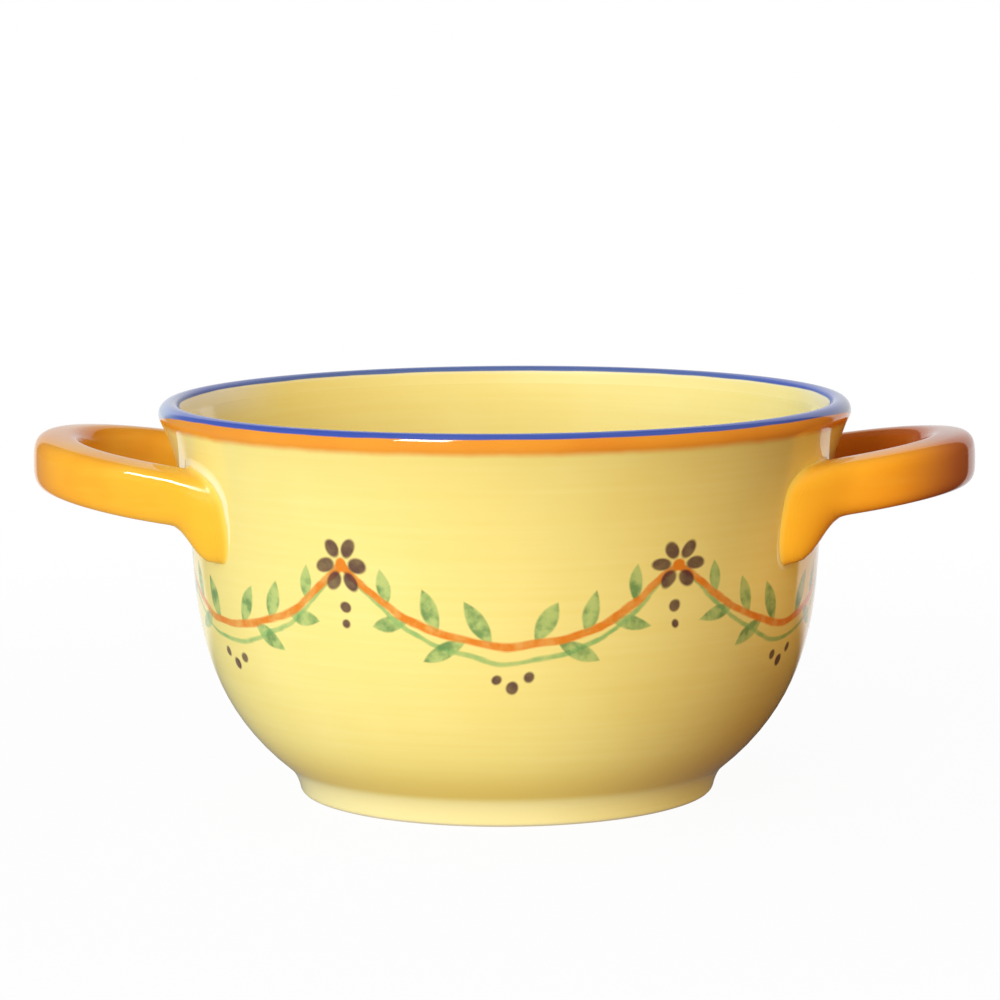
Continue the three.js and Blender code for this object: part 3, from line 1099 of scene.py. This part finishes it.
# %% Fade the orange into the yellow
SLIP_ROUGHNESS = 0.07
SLIP_CLOUDS = 0.35
PALEST = 0.45
PALE_WIDTH = (0.5, 0.0)
TO_ROOT_ORANGE = (-0.2, 0.2)
TO_YELLOW = (-0.7, PALEST)
UPPER_SIDE = 0.13
UPPER_WIDTH = (0.13, 0.03)
slip_glaze, slip_shader, place = new_finish("slip_under_thin_glaze")
round_root = on_grid(place)
to_wall = round_root.beside(1) * (BEAD_ROWS / FACE_STEPS)
wander = (noise(place, SLIP_CLOUDS) - 0.5) * 0.3
fade = to_wall + wander
# Next to the strap the bead takes the root's paler orange, painted light.
slip_orange = coat(fade.rise(*TO_ROOT_ORANGE) * 0.7, orange_coat(place)[0], LIT_ROOT_ORANGE)
slip_colour = coat(fade.rise(*TO_YELLOW), slip_orange, yellow_coat(place)[0])
# The cream line is thin glaze and, in part, a painted highlight, a little stronger on the upper side.
upper = abs(round_root - UPPER_SIDE).rise(*UPPER_WIDTH)
cream_line_and_highlight = abs(fade - PALEST).rise(*PALE_WIDTH) * (upper * 0.15 + 0.8)
feed(slip_shader, "Base Color", coat(cream_line_and_highlight, slip_colour, CREAM))
feed(slip_shader, "Roughness", wander * 0.06 + SLIP_ROUGHNESS)
for bead in slip_beads:
    bead.data.materials.append(slip_glaze)
print("thin glaze on", len(slip_beads), "beads")

# %% [markdown]
# ## Joining the pieces to the frame
#
# Every piece rides on a body, and the CAD piece that it stands for is hidden. Nothing on a fired bowl
# moves, so there is one body.

# %% Ride on the body, and hide the CAD pieces that are replaced
stand_ins = [
    (bowl, "bowl", "yellow_glaze"),
    (handle_right, "handle_right", "orange_glaze"),
    (handle_left, "handle_left", "orange_glaze"),
    (slip_right_front, "slip_joint_right_front", "lute_slip"),
    (slip_right_back, "slip_joint_right_back", "lute_slip"),
    (slip_left_front, "slip_joint_left_front", "lute_slip"),
    (slip_left_back, "slip_joint_left_back", "lute_slip"),
]
for piece, node, slot in stand_ins:
    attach(piece, "root")
    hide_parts(node)
print(len(stand_ins), "pieces ride on the bowl's one body")

# %% [markdown]
# ## A white floor in a white room
#
# The camera sees floor and room as plain white. A glaze would mirror so much white all over, so
# reflections find it only well behind the bowl, as if a photographer had hung a white sheet there. The
# light that floor and room throw on the bowl is a third thing: a soft glow, cooler from the left and
# warmer from the right. The floor still takes the bowl's shadow.

# %% The rays by which the background is seen
WHITE = (1, 1, 1, 1)
BACKDROP = (0.70, 0.76)
LESS_ON_LEFT = 0.16


def seen_plainly(tree):
    """Masks of the rays by which the background is seen: straight on, and in gloss or glass."""
    straight = Paint(tree.nodes.new("ShaderNodeLightPath").outputs["Is Camera Ray"])
    mirrored = straight.beside("Is Glossy Ray").either(straight.beside("Is Transmission Ray"))
    return straight, mirrored


def white_backdrop(back, on_left):
    """Where a reflection finds the white backdrop: well behind the bowl, and less of it on the left."""
    return (back - on_left * LESS_ON_LEFT).rise(*BACKDROP)


print("the background is told apart by the rays that see it")

# %% What the floor shows in reflections, and the light it throws on the bowl
FLOOR_SIZE = 6
FLOOR_RIGHT = (0, 70)
FLOOR_LEFT = (0, -100)
FLOOR_BEHIND = (80, 140)
HANDLE_END = 95
BOUNCE_LEFT = (0.62, 0.57, 0.42, 1)
BOUNCE_RIGHT = (0.18, 0.02, 0.00, 1)
MIRROR_LEFT = (0.25, 0.25, 0.25, 1)
MIRROR_RIGHT = (0.06, 0.05, 0.04, 1)
bpy.ops.object.select_all(action="DESELECT")
bpy.ops.mesh.primitive_plane_add(size=FLOOR_SIZE)
floor = bpy.context.object
floor.name = "floor"
floor_finish, floor_shader, place = new_finish("white_floor")
floor_tree = floor_finish.node_tree
straight, mirrored = seen_plainly(floor_tree)
floor_x = place.split()
floor_y = floor_x.beside(1)
floor_right = floor_x.rise(*FLOOR_RIGHT)
bounce = coat(floor_right, BOUNCE_LEFT, BOUNCE_RIGHT)
floor_mirror = coat(floor_right, MIRROR_LEFT, MIRROR_RIGHT)
beyond = (abs(floor_x) - HANDLE_END).either(0)
floor_back = floor_y / length_of(beyond, floor_y)
floor_white = white_backdrop(floor_back, floor_x.rise(*FLOOR_LEFT)) * floor_y.rise(*FLOOR_BEHIND)
floor_mirror = coat(floor_white, floor_mirror, WHITE)
glow_colour = coat(straight, coat(mirrored, bounce, floor_mirror), WHITE)
print("floor", FLOOR_SIZE, "m across")

# %% Let the floor keep a faint shadow
FLOOR_GREY = (0.9, 0.9, 0.9, 1)
FLOOR_ROUGHNESS = 0.9
SHADOW_SHARE = 0.05
PAST_SHADOW = (120, 420)
floor_shader.inputs["Base Color"].default_value = FLOOR_GREY
floor_shader.inputs["Roughness"].default_value = FLOOR_ROUGHNESS
distance = place.node("ShaderNodeVectorMath", {"operation": "LENGTH"}, {0: place}, 1)
plain = distance.rise(*PAST_SHADOW) * SHADOW_SHARE + (1 - SHADOW_SHARE)
glow = place.node("ShaderNodeEmission", {}, {"Color": glow_colour, "Strength": 1.0})
lit = Paint(floor_shader.outputs["BSDF"])
mixed = place.node("ShaderNodeMixShader", {}, {0: 1 - straight * (1 - plain), 1: lit, 2: glow})
floor_tree.links.new(mixed.socket, floor_tree.nodes["Material Output"].inputs["Surface"])
floor.data.materials.append(floor_finish)
print(f"{SHADOW_SHARE:.0%} of the lit floor shows near the bowl")

# %% The room: white behind the bowl, cooler on the left and warmer on the right
AMBIENT_LEFT = (0.64, 0.95, 1.20, 1)
AMBIENT_RIGHT = (0.84, 0.65, 0.15, 1)
AMBIENT_ABOVE = (0.50, 0.47, 0.85, 1)
GLOSS_BEHIND = (0.85, 0.85, 0.85, 1)
GLOSS_LEFT = (0.15, 0.15, 0.15, 1)
GLOSS_RIGHT = (0.04, 0.03, 0.02, 1)
ROOM_RIGHT = (-0.7, 0.7)
ROOM_LEFT = (0, -0.4)
ROOM_ABOVE = (0.4, 0.9)
BACK_LIFT = 0.1
world = bpy.data.worlds.new("white_room")
bpy.context.scene.world = world
world.use_nodes = True
room_tree = world.node_tree
straight, mirrored = seen_plainly(room_tree)
to_right = Paint(room_tree.nodes.new("ShaderNodeTexCoord").outputs["Generated"]).split()
to_top = to_right.beside(2)
room_back = to_right.beside(1) + to_top * BACK_LIFT
behind = white_backdrop(room_back, to_right.rise(*ROOM_LEFT))
right_side = to_right.rise(*ROOM_RIGHT)
overhead = to_top.rise(*ROOM_ABOVE)
ambient = coat(overhead, coat(right_side, AMBIENT_LEFT, AMBIENT_RIGHT), AMBIENT_ABOVE)
gloss = coat(behind, coat(right_side, GLOSS_LEFT, GLOSS_RIGHT), GLOSS_BEHIND)
room = coat(straight, coat(mirrored, ambient, gloss), WHITE)
room_tree.links.new(room.socket, room_tree.nodes["Background"].inputs["Color"])
print("a room that is white behind the bowl")

# %% [markdown]
# ## The lamps
#
# One lamp could do all the work, but then shading and highlights couldn't be set separately. So a large
# soft light from the front left shades the bowl and isn't mirrored, and a smaller one high above it
# only leaves highlights. A weak warm fill lifts the right front root out of the shade.

# %% A main light, a key lamp for the highlights and a fill
LAMP_DISTANCE = 1.5
FILL_DISTANCE = 1.0
FILL_TARGET = Vector((62 * MM, -26 * MM, 50 * MM))
FILL_CONE = math.radians(3.2)


def aimed_lamp(name, kind, target, azimuth, elevation, distance):
    """A lamp that faces a target. Azimuth 0 is in front of the bowl, and grows to the right."""
    side = math.radians(azimuth)
    level = math.cos(math.radians(elevation)) * distance
    rise = math.sin(math.radians(elevation)) * distance
    place = target + Vector((math.sin(side) * level, -math.cos(side) * level, rise))
    bpy.ops.object.light_add(type=kind, location=place)
    lamp = bpy.context.object
    lamp.name = name
    lamp.rotation_euler = (target - place).to_track_quat("-Z", "Y").to_euler()
    return lamp


def soft_lamp(name, azimuth, elevation, width, height, power, colour):
    """A lamp as wide and high as a window, aimed at the middle of the bowl."""
    lamp = aimed_lamp(name, "AREA", BOWL_MIDDLE, azimuth, elevation, LAMP_DISTANCE)
    lamp.data.shape = "RECTANGLE"
    lamp.data.size = width
    lamp.data.size_y = height
    lamp.data.energy = power
    lamp.data.color = colour
    return lamp


main_light = soft_lamp(
    "main_light", azimuth=-25, elevation=14, width=0.6, height=0.6, power=13.6, colour=(1, 0.95, 0.75)
)
main_light.visible_glossy = False
key_lamp = soft_lamp(
    "key_lamp", azimuth=-34.5, elevation=52, width=0.37, height=0.36, power=12.3, colour=(1, 1, 1)
)
key_lamp.visible_diffuse = False
fill_lamp = aimed_lamp("fill_lamp", "SPOT", FILL_TARGET, azimuth=15, elevation=0, distance=FILL_DISTANCE)
fill_lamp.data.spot_size = FILL_CONE
fill_lamp.data.spot_blend = 1
fill_lamp.data.energy = 8
fill_lamp.data.color = (1, 0.62, 0.25)
fill_lamp.visible_glossy = False
print("a main light, a key lamp and a fill lamp")

# %% [markdown]
# ## The camera
#
# A long lens from less than a metre away, a little above the lip, gives the photograph's flat ellipses.
# The bowl lies below the middle of the picture, and the picture is a hair out of level. So the camera
# is aimed above the bowl and rolled, and its shift stays at zero.

# %% The camera, at the photograph's viewing angle
CAMERA_DISTANCE = 0.8193
CAMERA_AZIMUTH = math.radians(-1)
CAMERA_ELEVATION = math.radians(8.58)
LENS = 144.66
SENSOR = 36
IMAGE_WIDTH = 1000
FOCAL_PIXELS = LENS / SENSOR * IMAGE_WIDTH
TARGET_RIGHT = 5.2
TARGET_DOWN = 92.2
ROLL = math.radians(0.37)
ahead = Vector((-math.sin(CAMERA_AZIMUTH), math.cos(CAMERA_AZIMUTH), 0))
to_bowl = ahead * math.cos(CAMERA_ELEVATION) - Vector((0, 0, math.sin(CAMERA_ELEVATION)))
level_right = to_bowl.cross(Vector((0, 0, 1))).normalized()
upright = level_right.cross(to_bowl)
aim = to_bowl + upright * (TARGET_DOWN / FOCAL_PIXELS) - level_right * (TARGET_RIGHT / FOCAL_PIXELS)
aim.normalize()
right = aim.cross(upright).normalized()
top = right.cross(aim)
rolled_right = right * math.cos(ROLL) - top * math.sin(ROLL)
rolled_top = top * math.cos(ROLL) + right * math.sin(ROLL)
bpy.ops.object.camera_add(location=BOWL_MIDDLE - to_bowl * CAMERA_DISTANCE)
camera = bpy.context.object
camera.rotation_euler = Matrix((rolled_right, rolled_top, -aim)).transposed().to_euler()
camera.data.lens = LENS
camera.data.sensor_width = SENSOR
bpy.context.scene.camera = camera
bpy.context.scene.view_settings.view_transform = "Standard"
print(f"camera {CAMERA_DISTANCE} m from the bowl")
